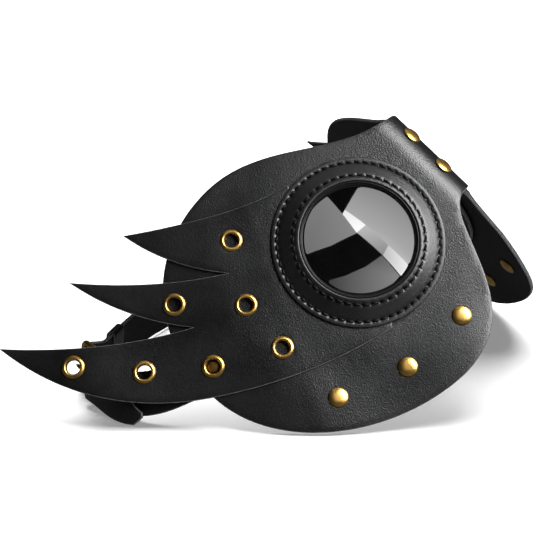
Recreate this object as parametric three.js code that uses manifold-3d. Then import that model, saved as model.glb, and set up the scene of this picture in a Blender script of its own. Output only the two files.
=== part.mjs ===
// Bird-style plague doctor half mask: two black leather halves riveted over the nose, with
// stitched goggle rings, three-feather wings set with brass eyelets, and a buckled head strap.
// Millimetres, +Z up. The nose points to -Y and the wearer's right is -X. The mask stands on
// its two cheek lobes and on the lower edge of the strap.
import * as THREE from 'three';
import { mergeVertices } from 'three/addons/utils/BufferGeometryUtils.js';
import Module from 'manifold-3d';

const RIGHT = -1;
const LEFT = 1;
const DEG = Math.PI / 180;

// The sheet leather and the gap kept between neighbouring pieces.
const LEATHER = 2;
const GAP = 0.3;

// How each half is bent. Flat positions are (s, t): s runs round the face from the nose line,
// t runs up along the nose line, and t = 0 passes through the lens centre.
const NOSE_RADIUS = 15;
const NOSE_TURN = 45.6 * DEG;
const TEMPLE_RADIUS = 60;
const TEMPLE_TURN = 3 * DEG;
const TEMPLE_LEAN = -25 * DEG;
const TEMPLE_CLEARANCE = 39;
const RIDGE_LEAN = 52.9 * DEG;
// Height of flat position (0, 0) when the mask stands on its cheek lobes and strap.
const NOSE_LINE_HEIGHT = 95.6;
const NOSE_ARC_LENGTH = NOSE_RADIUS * NOSE_TURN;

// Goggle ring, drawn as heights above the outer face of the leather.
const LENS_CENTRE = [54.7, 0];
const RING_OUTER = 37.75;
const RING_INNER = 24.8;
const RING_RISE = 5.2;
const LENS_RADIUS = 24.2;
const LENS_HOLE = 27;
const BACKING_OUTER = 33;
const BACKING_INNER = 25;
const ROUND_STEPS = 32;

// Wing panel: the second leather layer, sewn under the goggle ring.
const WING_LIFT = 0.9;
const WING_RING_RADIUS = 36;
const EYELET_SPOTS = [
  [179.1, 45.8], [159.1, 23.4], [136.7, 4.7], [110.3, -10.1],
  [130.3, 35.4], [108.6, 13.7], [93.6, 38.3],
];
const EYELET_RADIUS = 5;
const EYELET_BORE = 2.9;

// Brass double-cap rivets.
const CAP_RADIUS = 4.3;
const CAP_HEIGHT = 1.6;
const RIVET_SHANK = 1.6;
const CHEEK_RIVET_SPOTS = [[45.5, -53.5], [77.9, -52.7], [108.1, -41.3]];
const BRIDGE_RIVET_SPOTS = [18.1, -1.4];
// Holes over the nose are wider, because their inner ends close up as the leather bends.
const BRIDGE_HOLE = 2.8;
const BRIDGE_CROWN = 0.9;
const LAP = 6;
const LAP_RAMP_START = 7;
const LAP_RAMP_END = 22;

// Head strap. It leaves each half at STRAP_RIVET, in the direction STRAP_RISE on the flat leather.
const STRAP_WIDTH = 19;
const STRAP_RIVET = EYELET_SPOTS[2];
const STRAP_RISE = 21 * DEG;
const STRAP_END_BEFORE_RIVET = 9;
const STRAP_STRAIGHT = 20;
const STRAP_RIVET_CAP = 2.4;

// Buckle. HEEL_BAR is the spot on its heel bar at the middle of the strap, and the frame's own
// middle is FRAME_RISE above that. BUCKLE_HEADING is the way from the heel bar to the front bar,
// from +Y towards +X.
const HEEL_BAR = new THREE.Vector3(-111, 110.2, 12.8);
const FRAME_RISE = 0.9;
const BUCKLE_HEADING = 24 * DEG;
const BUCKLE_LEAN = 6 * DEG;
const BUCKLE_WIRE = 1.3;
const BUCKLE_HEIGHT = 27;
const BUCKLE_LENGTH = 15;
const BUCKLE_CORNER = 2.5;
const PRONG_WIRE = 0.9;
const PRONG_LENGTH = 17.5;
// How far from the heel bar's axis the right strap folds round it and the left strap passes it.
const FOLD_RADIUS = BUCKLE_WIRE + GAP + LEATHER / 2;
const TAIL_PASS = FOLD_RADIUS + LEATHER + 0.6;
const FRONT_BAR_PASS = -FOLD_RADIUS - 0.4;
const SLOT_WIDTH = 3.2;
const SLOT_REACH = 5;
// Stations of the right strap that its folded end and the left strap's free end lie along.
const FOLDED_STATIONS = 7;
const TAIL_STATIONS = 12;
const LAID_ALONG = LEATHER + GAP + 0.1;
const TAIL_LAID_OUT = LEATHER + 0.5;
const TAIL_SLANT = [13, 9, 5, 1.5, 0];
const TAIL_BEVEL = 3;

// Keeper: the left strap runs straight for KEEPER_RUN each way from its middle.
const KEEPER_WALL = 1.5;
const KEEPER_LENGTH = 10;
const KEEPER_SPOT = new THREE.Vector3(-83, 123, 11.6);
const KEEPER_WAY = new THREE.Vector3(-1, -0.2, 0).normalize();
const KEEPER_RUN = 9.5;
const LEFT_STRAP_ACROSS = new THREE.Vector3(0, -0.1, 1).normalize();
const SPARE_HOLES = [13, 60, 74, 88];
const HOLE_RADIUS = 1.5;

const leather = () => new THREE.MeshStandardMaterial({ color: 0x17171a, roughness: 0.62 });
const brass = () => new THREE.MeshStandardMaterial({ color: 0xb8944e, roughness: 0.3, metalness: 1 });
const rimBlack = () => new THREE.MeshStandardMaterial({ color: 0x050506, roughness: 0.35 });
const smokedLens = () => new THREE.MeshStandardMaterial({ color: 0x2a2c30, roughness: 0.06 });

const wasm = await Module();
wasm.setup();

const mask = new THREE.Group();

function addMesh(name, geometry, material) {
  const mesh = new THREE.Mesh(geometry, material);
  mesh.name = name;
  mask.add(mesh);
  return mesh;
}

// ---- the bent skin ------------------------------------------------------------------------

// Distance of a flat position past the line where the temple bend starts.
function pastTemple(s, t) {
  const across = (s - LENS_CENTRE[0]) * Math.cos(TEMPLE_LEAN);
  const up = (t - LENS_CENTRE[1]) * Math.sin(TEMPLE_LEAN);
  return across - up - TEMPLE_CLEARANCE;
}

// Turns the half's own axes (x out to the side, y forward, z up the nose line) to the mask's.
function toMask(side, x, y, z) {
  const sin = Math.sin(RIDGE_LEAN);
  const cos = Math.cos(RIDGE_LEAN);
  return new THREE.Vector3(side * x, z * sin - y * cos, y * sin + z * cos + NOSE_LINE_HEIGHT);
}

// Where flat position (s, t), at height h above the leather's outer face, is on the bent mask.
function skin(side, s, t, h) {
  const noseTurn = Math.min(s / NOSE_RADIUS, NOSE_TURN);
  const reach = NOSE_RADIUS + h;
  let x = reach * Math.sin(noseTurn);
  let y = reach * Math.cos(noseTurn) - NOSE_RADIUS;
  let z = t;
  if (s > NOSE_ARC_LENGTH) {
    // The cheek plane: "out" runs away from the nose line, and "drop" falls behind the plane.
    let out = s - NOSE_ARC_LENGTH;
    let drop = 0;
    const past = pastTemple(s, t);
    if (past > 0) {
      const turn = Math.min(past / TEMPLE_RADIUS, TEMPLE_TURN);
      const rest = past - turn * TEMPLE_RADIUS;
      const along = (TEMPLE_RADIUS + h) * Math.sin(turn) + rest * Math.cos(turn) - past;
      drop = (TEMPLE_RADIUS + h) * (1 - Math.cos(turn)) + rest * Math.sin(turn);
      out += along * Math.cos(TEMPLE_LEAN);
      z -= along * Math.sin(TEMPLE_LEAN);
    }
    x += out * Math.cos(NOSE_TURN) - drop * Math.sin(NOSE_TURN);
    y -= out * Math.sin(NOSE_TURN) + drop * Math.cos(NOSE_TURN);
  }
  return toMask(side, x, y, z);
}

// Position, outward normal and two surface directions of the skin at a flat position.
function skinFrame(side, s, t, h) {
  const origin = skin(side, s, t, h);
  const outward = skin(side, s, t, h + 1).sub(origin).normalize();
  const alongT = skin(side, s, t + 1, h).sub(origin).normalize();
  const alongS = skin(side, s + 1, t, h).sub(origin).normalize();
  return { origin, outward, alongS, alongT };
}

// ---- leather sheets -----------------------------------------------------------------------

// Where the edge p-q crosses level 0. Its ends are put in order first, so that the two triangles
// on an edge get exactly the same point.
function cutPoint(p, q, levelP, levelQ) {
  if (p.x - q.x || p.y - q.y || p.z - q.z) {
    const swap = (p.x - q.x || p.y - q.y || p.z - q.z) > 0;
    if (swap) return cutPoint(q, p, levelQ, levelP);
  }
  return p.clone().lerp(q, levelP / (levelP - levelQ));
}

// Splits a triangle where a linear function of its corners changes sign, on a shared cut line.
function splitTriangle(corners, level) {
  const values = corners.map(level);
  const sides = values.map((value) => (Math.abs(value) < 1e-6 ? 0 : Math.sign(value)));
  const lone = [0, 1, 2].find((i) => sides[i] * sides[(i + 1) % 3] < 0 && sides[i] * sides[(i + 2) % 3] <= 0);
  if (lone === undefined) return [corners];
  const order = [lone, (lone + 1) % 3, (lone + 2) % 3];
  const [a, b, c] = order.map((i) => corners[i]);
  const [va, vb, vc] = order.map((i) => values[i]);
  const ab = cutPoint(a, b, va, vb);
  if (sides[order[2]] === 0) return [[a, ab, c], [ab, b, c]];
  const ac = cutPoint(a, c, va, vc);
  return [[a, ab, ac], [ab, b, c], [ab, c, ac]];
}

// A flat piece of leather with the outline given, creased where it will bend, and then bent:
// "bend" takes each flat corner (outline position and height) to its place.
function bentSheet(shape, thickness, creases, bend, mirrored) {
  const options = { depth: thickness, bevelEnabled: false, curveSegments: 8 };
  const flat = new THREE.ExtrudeGeometry(shape, options).getAttribute('position');
  let triangles = [];
  for (let i = 0; i < flat.count; i += 3) {
    triangles.push([0, 1, 2].map((k) => new THREE.Vector3().fromBufferAttribute(flat, i + k)));
  }
  for (const crease of creases) {
    triangles = triangles.flatMap((corners) => splitTriangle(corners, crease));
  }
  const points = triangles.flatMap(([a, b, c]) => (mirrored ? [a, c, b] : [a, b, c])).map(bend);
  return mergeVertices(new THREE.BufferGeometry().setFromPoints(points), 1e-4);
}

// The lines on which a half of the mask bends: across the nose arc and across the temple arc.
function skinCreases() {
  const creases = [];
  for (const part of [-0.25, 0.1, 0.4, 0.7, 1]) {
    creases.push((p) => p.x - part * NOSE_ARC_LENGTH);
  }
  for (const part of [0, 0.5, 1]) {
    creases.push((p) => pastTemple(p.x, p.y) - part * TEMPLE_RADIUS * TEMPLE_TURN);
  }
  return creases;
}

function skinSheet(side, shape, base, sink = () => 0, extraCreases = []) {
  const bend = (p) => skin(side, p.x, p.y, base + p.z - sink(p.x));
  return bentSheet(shape, LEATHER, [...skinCreases(), ...extraCreases], bend, side === RIGHT);
}

// A round hole, as a polygon running the opposite way to the outlines.
function circleHole([s, t], radius, sides = 8) {
  const corner = (_, i) => {
    const turn = (2 * Math.PI * i) / sides;
    return new THREE.Vector2(s + radius * Math.cos(turn), t + radius * Math.sin(turn));
  };
  return new THREE.Path(Array.from({ length: sides }, corner));
}

// Outline of one half: over the brow, down behind the temple, round the cheek lobe, up the
// nose opening. It crosses the nose line by LAP, where the two halves are riveted together.
function faceOutline() {
  const shape = new THREE.Shape();
  shape.moveTo(-LAP, 30.6);
  shape.lineTo(0, 31);
  shape.bezierCurveTo(32, 30, 50, 62, 84, 62.3);
  shape.bezierCurveTo(118, 62.5, 148, 38, 145.6, -4.7);
  shape.bezierCurveTo(143, -44, 97, -71.7, 61, -71.7);
  shape.bezierCurveTo(29, -70.5, 25, -46, 14.5, -25);
  shape.quadraticCurveTo(10, -16.4, 3, -16);
  shape.lineTo(-LAP, -15.6);
  shape.closePath();
  shape.holes.push(circleHole(LENS_CENTRE, LENS_HOLE, ROUND_STEPS), circleHole(STRAP_RIVET, RIVET_SHANK + GAP));
  for (const spot of CHEEK_RIVET_SPOTS) shape.holes.push(circleHole(spot, RIVET_SHANK + GAP));
  for (const t of BRIDGE_RIVET_SPOTS) shape.holes.push(circleHole([0, t], BRIDGE_HOLE));
  return shape;
}

// The left half dips under the right one where they lap, and comes level beyond the nose.
function lapSink(s) {
  const level = THREE.MathUtils.clamp((s - LAP_RAMP_START) / (LAP_RAMP_END - LAP_RAMP_START), 0, 1);
  return (LEATHER + GAP) * (1 - level);
}

function addFacePanels() {
  const rampCreases = [LAP_RAMP_START, LAP_RAMP_END].map((at) => (p) => p.x - at);
  addMesh('right_face_panel', skinSheet(RIGHT, faceOutline(), -LEATHER), leather());
  addMesh('left_face_panel', skinSheet(LEFT, faceOutline(), -LEATHER, lapSink, rampCreases), leather());
}

// Outline of the wing: a collar round the lens, and three feathers swept back from it.
function wingOutline() {
  const [s, t] = LENS_CENTRE;
  const shape = new THREE.Shape();
  const start = 83 * DEG;
  const end = -68 * DEG;
  shape.moveTo(s + WING_RING_RADIUS * Math.cos(start), t + WING_RING_RADIUS * Math.sin(start));
  shape.lineTo(59, 39.3);
  shape.quadraticCurveTo(85, 44.5, 125.4, 73);
  shape.quadraticCurveTo(121, 48.5, 104.6, 29.1);
  shape.quadraticCurveTo(130.5, 45, 156, 74);
  shape.quadraticCurveTo(150.5, 46.5, 131.4, 22.8);
  shape.quadraticCurveTo(167.5, 42, 196.5, 74);
  shape.quadraticCurveTo(190, 28, 151.7, -0.5);
  shape.quadraticCurveTo(114, -27.5, 70.8, -36.4);
  shape.lineTo(s + WING_RING_RADIUS * Math.cos(end), t + WING_RING_RADIUS * Math.sin(end));
  shape.absarc(s, t, WING_RING_RADIUS, end, start, true);
  shape.holes.push(circleHole(LENS_CENTRE, LENS_HOLE, ROUND_STEPS));
  for (const spot of EYELET_SPOTS) shape.holes.push(circleHole(spot, EYELET_BORE + 0.4 + GAP));
  return shape;
}

// ---- turned pieces ------------------------------------------------------------------------

// A lathed piece standing on the skin at a flat position, its axis along the outward normal.
function addTurned(name, side, [s, t], profile, steps, material) {
  const points = profile.map(([radius, height]) => new THREE.Vector2(radius, height));
  const geometry = new THREE.LatheGeometry(points, steps);
  const mesh = addMesh(name, geometry, material);
  const { origin, outward } = skinFrame(side, s, t, 0);
  mesh.position.copy(origin);
  mesh.quaternion.setFromUnitVectors(new THREE.Vector3(0, 1, 0), outward);
  return mesh;
}

// The moulded leather ring: flat at its sewn edge, rising to the rim round the lens.
function ringProfile() {
  const base = WING_LIFT + LEATHER + GAP;
  const top = base + LEATHER;
  return [
    [RING_INNER, base], [RING_OUTER, base], [RING_OUTER, top - 0.6], [RING_OUTER - 0.7, top],
    [33.4, top + 0.6], [30.2, top + 2.6], [27.4, top + RING_RISE - 0.8], [26, top + RING_RISE],
    [RING_INNER + 0.3, top + RING_RISE - 0.2], [RING_INNER, top + RING_RISE - 0.8], [RING_INNER, base],
  ];
}

// The black bezel: a tube lining the ring, with a seat that the lens rests on.
function bezelProfile() {
  const outer = RING_INNER - GAP;
  const top = WING_LIFT + 2 * LEATHER + GAP + RING_RISE - 1;
  const bottom = -LEATHER - GAP;
  return [
    [22.4, bottom], [outer, bottom], [outer, top], [outer - 1.1, top],
    [outer - 1.1, 3.6], [22.4, 3.6], [22.4, bottom],
  ];
}

function lensProfile() {
  const seat = 3.6 + GAP;
  const edge = LENS_RADIUS - 1.1;
  return [[0, seat], [edge, seat], [edge, seat + 1.2], [17, seat + 2.6], [9, seat + 3.5], [0, seat + 3.8]];
}

function backingProfile() {
  const top = -LEATHER - GAP;
  return [[BACKING_INNER, top - LEATHER], [BACKING_OUTER, top - LEATHER], [BACKING_OUTER, top],
    [BACKING_INNER, top], [BACKING_INNER, top - LEATHER]];
}

// A brass eyelet: rolled flange outside, barrel through the wing, thin flange behind.
function eyeletProfile() {
  const face = WING_LIFT + LEATHER;
  const wall = EYELET_BORE + 0.4;
  return [
    [EYELET_BORE, face - LEATHER - 0.6], [4.4, face - LEATHER - 0.6], [4.4, face - LEATHER - GAP],
    [wall, face - LEATHER - GAP], [wall, face + GAP / 2], [EYELET_RADIUS, face + GAP / 2],
    [EYELET_RADIUS - 0.3, face + 0.9], [4, face + 1.3], [EYELET_BORE + 0.3, face + 0.9],
    [EYELET_BORE, face + 0.3], [EYELET_BORE, face - LEATHER - 0.6],
  ];
}

// A double-cap rivet from height "bottom" to height "top" of the leather that it holds.
function rivetProfile(bottom, top, cap = CAP_RADIUS, rise = CAP_HEIGHT) {
  const under = bottom - GAP / 2;
  const over = top + GAP / 2;
  return [
    [0, under - rise], [cap * 0.55, under - rise * 0.85], [cap * 0.95, under - rise * 0.35],
    [cap, under], [RIVET_SHANK, under], [RIVET_SHANK, over], [cap, over],
    [cap * 0.95, over + rise * 0.35], [cap * 0.55, over + rise * 0.85], [0, over + rise],
  ];
}

function addGoggle(side, name) {
  addTurned(`${name}_lens_ring`, side, LENS_CENTRE, ringProfile(), ROUND_STEPS, leather());
  addTurned(`${name}_lens_bezel`, side, LENS_CENTRE, bezelProfile(), ROUND_STEPS, rimBlack());
  addTurned(`${name}_lens`, side, LENS_CENTRE, lensProfile(), ROUND_STEPS, smokedLens());
  addTurned(`${name}_lens_backing_ring`, side, LENS_CENTRE, backingProfile(), ROUND_STEPS, leather());
}

function addHardware(side, name) {
  EYELET_SPOTS.forEach((spot, i) => {
    addTurned(`${name}_eyelet_${i + 1}`, side, spot, eyeletProfile(), 16, brass());
  });
  CHEEK_RIVET_SPOTS.forEach((spot, i) => {
    addTurned(`${name}_cheek_rivet_${i + 1}`, side, spot, rivetProfile(-LEATHER, 0), 16, brass());
  });
  const strapRivet = rivetProfile(-2 * LEATHER - GAP, 0, STRAP_RIVET_CAP, 1.2);
  addTurned(`${name}_strap_rivet`, side, STRAP_RIVET, strapRivet, 16, brass());
}

function addBridgeRivets() {
  const profile = rivetProfile(-2 * LEATHER - GAP - BRIDGE_CROWN, 0);
  addTurned('upper_bridge_rivet', RIGHT, [0, BRIDGE_RIVET_SPOTS[0]], profile, 16, brass());
  addTurned('lower_bridge_rivet', RIGHT, [0, BRIDGE_RIVET_SPOTS[1]], profile, 16, brass());
}

// ---- straps -------------------------------------------------------------------------------

// The buckle's own directions: ahead to the front bar, outward from the head, and up.
const ahead = new THREE.Vector3(Math.sin(BUCKLE_HEADING), Math.cos(BUCKLE_HEADING), 0);
const outward = new THREE.Vector3(-Math.cos(BUCKLE_HEADING), Math.sin(BUCKLE_HEADING), 0)
  .applyAxisAngle(ahead, BUCKLE_LEAN);
const up = new THREE.Vector3().crossVectors(outward, ahead).negate();

function atBuckle(along, out, rise = 0) {
  return HEEL_BAR.clone().addScaledVector(ahead, along).addScaledVector(outward, out)
    .addScaledVector(up, rise);
}

// A route is a list of stations: a point on the strap's middle and the direction across it.
function curveStations(points, fromAcross, toAcross, steps) {
  const curve = new THREE.CubicBezierCurve3(...points);
  return Array.from({ length: steps + 1 }, (_, i) => ({
    point: curve.getPoint(i / steps),
    across: fromAcross.clone().lerp(toAcross, THREE.MathUtils.smoothstep(i / steps, 0, 1)),
  }));
}

// The stretch of strap that lies along the inner face of a half, past its rivet.
function stationsOnSkin(side) {
  const { origin, outward: normal, alongS, alongT } = skinFrame(side, ...STRAP_RIVET, -1.5 * LEATHER - GAP);
  const along = alongS.clone().multiplyScalar(Math.cos(STRAP_RISE))
    .addScaledVector(alongT, Math.sin(STRAP_RISE));
  const across = new THREE.Vector3().crossVectors(normal, along).multiplyScalar(side).normalize();
  const stations = [-STRAP_END_BEFORE_RIVET, STRAP_STRAIGHT].map((distance) => ({
    point: origin.clone().addScaledVector(along, distance),
    across,
  }));
  return { stations, along, across };
}

// Drops repeated stations, and squares up the directions across the strap and out of its face.
function squared(stations) {
  const kept = stations.filter((station, i) => (
    i === 0 || station.point.distanceTo(stations[i - 1].point) > 0.05));
  return kept.map((station, i) => {
    const before = kept[Math.max(i - 1, 0)].point;
    const after = kept[Math.min(i + 1, kept.length - 1)].point;
    const forward = after.clone().sub(before).normalize();
    const face = new THREE.Vector3().crossVectors(forward, station.across).normalize();
    const across = new THREE.Vector3().crossVectors(face, forward).normalize();
    return { point: station.point, across, face };
  });
}

// A closed body through rings of corners: quads between the rings, and a cap at each end unless
// the rings close on themselves.
function lofted(rings, closed = false) {
  const sides = rings[0].length;
  const indices = [];
  const count = closed ? rings.length : rings.length - 1;
  for (let i = 0; i < count; i += 1) {
    for (let k = 0; k < sides; k += 1) {
      const [a, b] = [i * sides + k, i * sides + ((k + 1) % sides)];
      const next = ((i + 1) % rings.length) * sides;
      const [c, d] = [next + k, next + ((k + 1) % sides)];
      indices.push(a, b, d, a, d, c);
    }
  }
  const last = (rings.length - 1) * sides;
  for (let k = 1; k < sides - 1 && !closed; k += 1) {
    indices.push(0, k + 1, k, last, last + k, last + k + 1);
  }
  const geometry = new THREE.BufferGeometry().setFromPoints(rings.flat());
  geometry.setIndex(indices);
  return geometry;
}

// Strap leather along a route, its width given by "lower" and "upper" edges at each part of it.
function strapBody(route, lower = () => -STRAP_WIDTH / 2, upper = () => STRAP_WIDTH / 2) {
  const half = LEATHER / 2;
  return lofted(route.map(({ point, across, face }, i) => {
    const edges = [lower(i), upper(i)];
    return [[0, -half], [1, -half], [1, half], [0, half]].map(([edge, out]) => (
      point.clone().addScaledVector(across, edges[edge]).addScaledVector(face, out)));
  }));
}

// A round wire along a row of points that lie in the plane square to "plane".
function wireBody(points, radius, plane, closed = false, sides = 10) {
  const last = points.length - 1;
  return lofted(points.map((point, i) => {
    const after = closed ? points[(i + 1) % points.length] : points[Math.min(i + 1, last)];
    const before = closed ? points.at(i - 1) : points[Math.max(i - 1, 0)];
    const forward = after.clone().sub(before).normalize();
    const other = new THREE.Vector3().crossVectors(forward, plane);
    return Array.from({ length: sides }, (_, k) => {
      const turn = (2 * Math.PI * k) / sides;
      return point.clone().addScaledVector(plane, radius * Math.cos(turn))
        .addScaledVector(other, radius * Math.sin(turn));
    });
  }), closed);
}

function toSolid(geometry) {
  const merged = mergeVertices(geometry, 1e-5);
  return new wasm.Manifold(new wasm.Mesh({
    numProp: 3,
    vertProperties: new Float32Array(merged.getAttribute('position').array),
    triVerts: new Uint32Array(merged.index.array),
  }));
}

function cutOut(geometry, cutters) {
  let solid = toSolid(geometry);
  for (const cutter of cutters) solid = solid.subtract(toSolid(cutter));
  const { vertProperties, triVerts } = solid.getMesh();
  const result = new THREE.BufferGeometry();
  result.setAttribute('position', new THREE.BufferAttribute(vertProperties, 3));
  result.setIndex(new THREE.BufferAttribute(triVerts, 1));
  return result;
}

// The station of a route at a distance back from its end.
function routeAt(route, distance) {
  let left = distance;
  let i = route.length - 1;
  while (i > 1 && left > route[i].point.distanceTo(route[i - 1].point)) {
    left -= route[i].point.distanceTo(route[i - 1].point);
    i -= 1;
  }
  const way = route[i - 1].point.clone().sub(route[i].point).normalize();
  return { point: route[i].point.clone().addScaledVector(way, left), face: route[i].face };
}

// A round punch for a strap hole at a place on a route.
function punch({ point, face }, radius) {
  const pin = new THREE.CylinderGeometry(radius, radius, 4 * LEATHER, 12);
  pin.deleteAttribute('normal');
  pin.deleteAttribute('uv');
  const turn = new THREE.Quaternion().setFromUnitVectors(new THREE.Vector3(0, 1, 0), face);
  return pin.applyQuaternion(turn).translate(...point.toArray());
}

// A block standing at the buckle, between distances ahead of the heel bar and out from it.
function buckleBlock([nearEnd, farEnd], [inside, outside], height) {
  const block = new THREE.BoxGeometry(farEnd - nearEnd, outside - inside, height);
  block.deleteAttribute('normal');
  block.deleteAttribute('uv');
  const basis = new THREE.Matrix4().makeBasis(ahead, outward, up);
  basis.setPosition(atBuckle((nearEnd + farEnd) / 2, (inside + outside) / 2));
  return block.applyMatrix4(basis);
}

// Stations laid along the last "count" stations of a route, going back, at a distance from it.
function laidAlong(route, count, distance) {
  return route.slice(-count).reverse().map(({ point, across, face }, i) => ({
    point: point.clone().addScaledVector(face, distance(i)),
    across,
  }));
}

// The right strap's outer run: from its rivet, back past the wing to the buckle's heel bar.
function rightStrapRun() {
  const { stations, along, across } = stationsOnSkin(RIGHT);
  const leave = stations[1].point;
  const curve = curveStations([leave, leave.clone().addScaledVector(along, 14),
    atBuckle(-14, FOLD_RADIUS - 4, -2), atBuckle(-2, FOLD_RADIUS)], across, up, 16);
  return squared([...stations, ...curve]);
}

// Round the heel bar, the right strap folds back and is sewn along the inside of itself.
function addRightStrap() {
  const run = rightStrapRun();
  const fold = Array.from({ length: 9 }, (_, i) => {
    const turn = (90 - 22.5 * i) * DEG;
    return { point: atBuckle(FOLD_RADIUS * Math.cos(turn), FOLD_RADIUS * Math.sin(turn)), across: up };
  });
  const closing = (i) => Math.max(LAID_ALONG, 2 * FOLD_RADIUS - 0.6 * (i + 1));
  const route = squared([...run, ...fold, ...laidAlong(run.slice(0, -1), FOLDED_STATIONS, closing)]);
  const { origin, outward: face } = skinFrame(RIGHT, ...STRAP_RIVET, -1.5 * LEATHER - GAP);
  const slot = buckleBlock([-SLOT_REACH, 8], [-8, 8], SLOT_WIDTH);
  const body = cutOut(strapBody(route), [punch({ point: origin, face }, RIVET_SHANK + GAP), slot]);
  addMesh('right_strap', body, leather());
}

// The left strap: from its rivet, round the back and through the buckle. Its free end lies along
// the outside of the right strap.
function leftStrapRoute() {
  const { stations, along, across } = stationsOnSkin(LEFT);
  const leave = stations[1].point;
  const beforeKeeper = KEEPER_SPOT.clone().addScaledVector(KEEPER_WAY, -KEEPER_RUN);
  const afterKeeper = KEEPER_SPOT.clone().addScaledVector(KEEPER_WAY, KEEPER_RUN);
  const round = curveStations([leave, leave.clone().addScaledVector(along, 20),
    beforeKeeper.clone().addScaledVector(KEEPER_WAY, -75), beforeKeeper], across, LEFT_STRAP_ACROSS, 24);
  const toBuckle = curveStations([afterKeeper, afterKeeper.clone().addScaledVector(KEEPER_WAY, 5),
    atBuckle(BUCKLE_LENGTH + 5, FRONT_BAR_PASS - 0.2), atBuckle(BUCKLE_LENGTH, FRONT_BAR_PASS)],
    LEFT_STRAP_ACROSS, up, 8);
  const through = curveStations([atBuckle(BUCKLE_LENGTH - 2.5, FRONT_BAR_PASS),
    atBuckle(BUCKLE_LENGTH - 7, FRONT_BAR_PASS + 0.5), atBuckle(6, TAIL_PASS), atBuckle(0.5, TAIL_PASS)],
    up, up, 8);
  const tail = laidAlong(rightStrapRun(), TAIL_STATIONS, () => -TAIL_LAID_OUT);
  return squared([...stations, ...round, ...toBuckle, ...through, ...tail]);
}

// The free end is clipped: a small bevel below, and a long slant down from the upper edge.
function addLeftStrap() {
  const route = leftStrapRoute();
  const { origin, outward: face } = skinFrame(LEFT, ...STRAP_RIVET, -1.5 * LEATHER - GAP);
  const half = STRAP_WIDTH / 2;
  const fromEnd = (i) => route.length - 1 - i;
  const upper = (i) => half - TAIL_SLANT[Math.min(fromEnd(i), TAIL_SLANT.length - 1)];
  const lower = (i) => (fromEnd(i) === 0 ? TAIL_BEVEL - half : -half);
  const slot = buckleBlock([1, 8], [0, 8], SLOT_WIDTH);
  const holes = SPARE_HOLES.map((distance) => punch(routeAt(route, distance), HOLE_RADIUS));
  const cutters = [punch({ point: origin, face }, RIVET_SHANK + GAP), slot, ...holes];
  addMesh('left_strap', cutOut(strapBody(route, lower, upper), cutters), leather());
}

// ---- buckle, prong and keeper -------------------------------------------------------------

function buckleOutline() {
  const half = BUCKLE_HEIGHT / 2 - BUCKLE_WIRE;
  const corners = [[0, -half], [BUCKLE_LENGTH, -half], [BUCKLE_LENGTH, half], [0, half]];
  const centres = corners.map(([along, rise]) => [
    along ? along - BUCKLE_CORNER : BUCKLE_CORNER, Math.sign(rise) * (half - BUCKLE_CORNER)]);
  return centres.flatMap(([along, rise], corner) => [0, 30, 60, 90].map((step) => {
    const turn = (180 + 90 * corner + step) * DEG;
    return atBuckle(along + BUCKLE_CORNER * Math.cos(turn), 0,
      FRAME_RISE + rise + BUCKLE_CORNER * Math.sin(turn));
  }));
}

// The prong: curled round the heel bar, then straight to rest on the outside of the front bar.
function prongLine() {
  const radius = BUCKLE_WIRE + GAP + PRONG_WIRE;
  const curl = Array.from({ length: 11 }, (_, i) => {
    const turn = (-190 + 28 * i) * DEG;
    return atBuckle(radius * Math.cos(turn), radius * Math.sin(turn));
  });
  return [...curl, atBuckle(8, radius), atBuckle(PRONG_LENGTH, radius)];
}

// The keeper: a leather loop that slides on the left strap.
function keeperBody() {
  const [inWidth, inDepth] = [STRAP_WIDTH / 2 + GAP, LEATHER / 2 + GAP];
  const box = (width, depth) => [[-width, -depth], [width, -depth], [width, depth], [-width, depth]]
    .map(([x, y]) => new THREE.Vector2(x, y));
  const shape = new THREE.Shape(box(inWidth + KEEPER_WALL, inDepth + KEEPER_WALL));
  shape.holes.push(new THREE.Path(box(inWidth, inDepth)));
  const loop = new THREE.ExtrudeGeometry(shape, { depth: KEEPER_LENGTH, bevelEnabled: false });
  const face = new THREE.Vector3().crossVectors(KEEPER_WAY, LEFT_STRAP_ACROSS).normalize();
  const across = new THREE.Vector3().crossVectors(face, KEEPER_WAY);
  const basis = new THREE.Matrix4().makeBasis(across, face, KEEPER_WAY);
  basis.setPosition(KEEPER_SPOT.clone().addScaledVector(KEEPER_WAY, -KEEPER_LENGTH / 2));
  return loop.applyMatrix4(basis);
}

addFacePanels();
addMesh('right_wing_panel', skinSheet(RIGHT, wingOutline(), WING_LIFT), leather());
addMesh('left_wing_panel', skinSheet(LEFT, wingOutline(), WING_LIFT), leather());
for (const [side, name] of [[RIGHT, 'right'], [LEFT, 'left']]) {
  addGoggle(side, name);
  addHardware(side, name);
}
addBridgeRivets();
addRightStrap();
addLeftStrap();
addMesh('buckle_frame', wireBody(buckleOutline(), BUCKLE_WIRE, outward, true), brass());
addMesh('buckle_prong', wireBody(prongLine(), PRONG_WIRE, up), brass());
addMesh('strap_keeper', keeperBody(), leather());

// The mask stands with the middle of its box at the origin and its lowest point at Z 0.
const box = new THREE.Box3().setFromObject(mask);
const middle = box.getCenter(new THREE.Vector3());
mask.position.set(-middle.x, -middle.y, -box.min.z);

export default mask;
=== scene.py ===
"""Bird-style plague doctor half mask: detailed leather, brass and lens pieces on the CAD frame.

Lengths in this file are millimetres until a mesh is made. The nose points to -Y, the wearer's
right is -X, and the mask stands on Z = 0.
"""

import math

import bmesh
import bpy
import numpy as np
from mathutils import Matrix, Vector
from mathutils.geometry import delaunay_2d_cdt


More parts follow.
